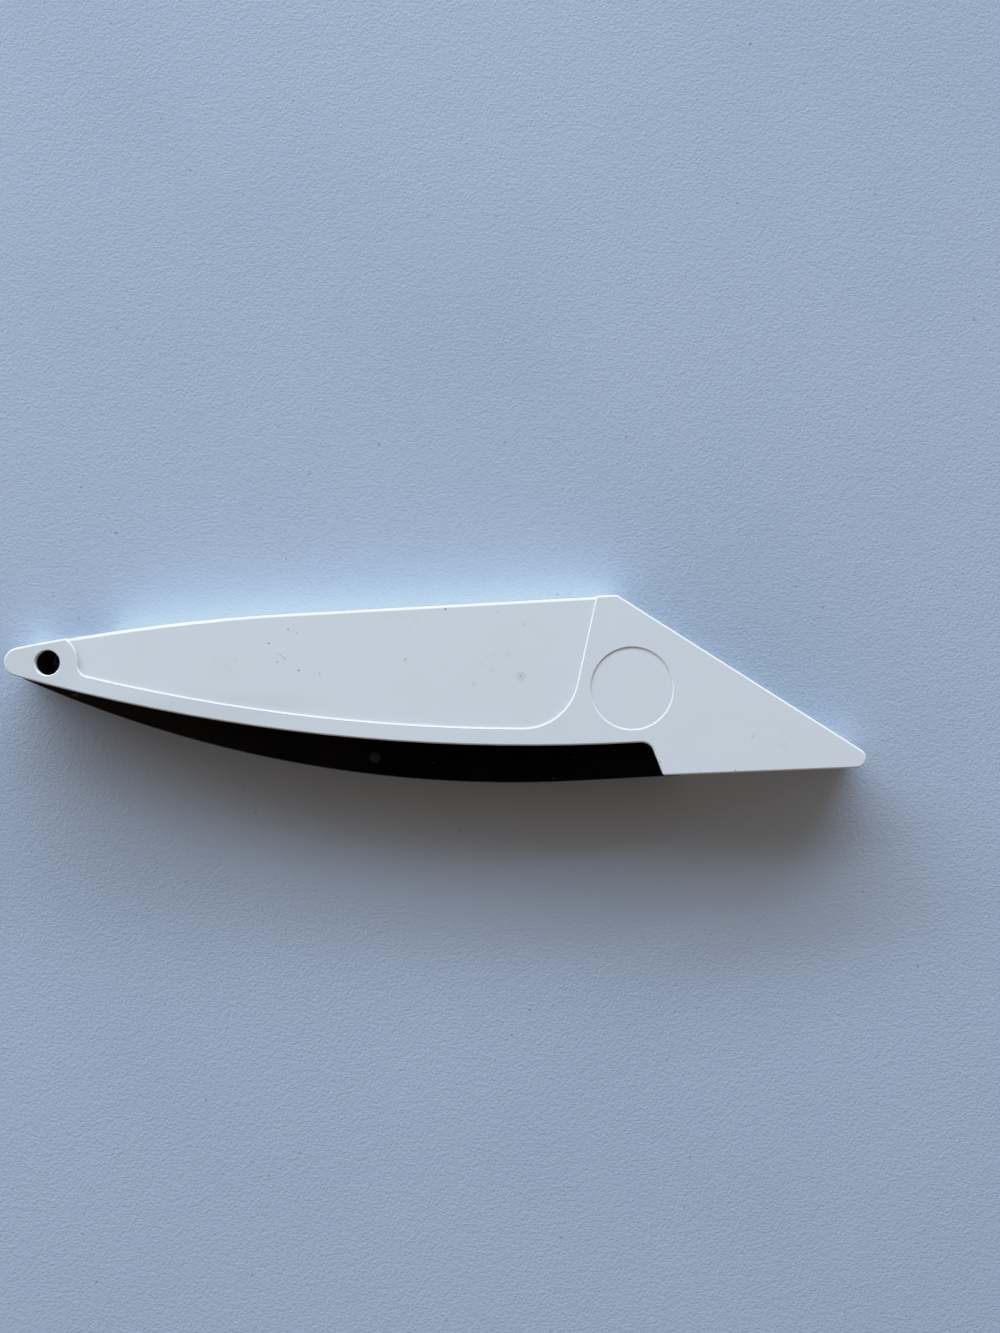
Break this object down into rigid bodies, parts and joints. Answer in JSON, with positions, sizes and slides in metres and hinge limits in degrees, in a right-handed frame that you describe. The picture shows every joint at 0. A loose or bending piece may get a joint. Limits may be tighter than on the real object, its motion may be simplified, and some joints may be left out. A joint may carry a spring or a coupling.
{
  "type": "knife blade guard",
  "caption": "Flat white clamshell knife blade guard with a hang hole, a sprung black squeeze bar along its edge side and a V of honing rods in its nose.",
  "frame": {"origin": "hang hole's axis on the parting plane between the covers", "axes": "+X along the blade from the hang hole to the mouth, +Y from the blade's edge to its spine, +Z out of the front cover along the hang hole"},
  "size_m": [0.2895, 0.0626, 0.016],
  "materials": {
    "white_shell": "gloss moulded, with a satin panel",
    "black_bar": "gloss moulded",
    "black_bush": "satin",
    "grey_acetal": "satin",
    "spring_steel": "bright drawn",
    "pin_steel": "ground",
    "ceramic": "fine ground"
  },
  "bodies": {
    "case": {"front_cover": "white_shell", "rear_cover": "white_shell", "pivot_bush": "black_bush", "blade_spring_front": "spring_steel", "blade_spring_rear": "spring_steel", "return_spring_front": "spring_steel", "return_spring_rear": "spring_steel"},
    "bar": {"squeeze_bar": "black_bar", "hinge_eye": "black_bar", "sharpener_carrier": "grey_acetal", "arm_pin": "pin_steel", "arm_spring_front": "spring_steel", "arm_spring_rear": "spring_steel"},
    "front_arm": {"stone_arm_front": "grey_acetal", "honing_rod_front": "ceramic"},
    "rear_arm": {"stone_arm_rear": "grey_acetal", "honing_rod_rear": "ceramic"}
  },
  "joints": [
    {"name": "bar_squeeze", "type": "hinge", "parent": "case", "child": "bar", "pos_m": [0, 0, 0], "axis": [0, 0, 1], "range_deg": [0, 1.5], "stiffness_Nm_per_rad": 180, "springref_deg": -0.26, "deforming": ["return_spring_front", "return_spring_rear"]},
    {"name": "front_arm_swing", "type": "hinge", "parent": "bar", "child": "front_arm", "pos_m": [0.2319, -0.03923, 0], "axis": [1, 0, 0], "range_deg": [0, 5], "stiffness_Nm_per_rad": 0.8, "springref_deg": -1.15, "deforming": ["arm_spring_front"]},
    {"name": "rear_arm_swing", "type": "hinge", "parent": "bar", "child": "rear_arm", "pos_m": [0.2404, -0.03923, 0], "axis": [-1, 0, 0], "range_deg": [0, 5], "stiffness_Nm_per_rad": 0.8, "springref_deg": -1.15, "deforming": ["arm_spring_rear"]}
  ]
}
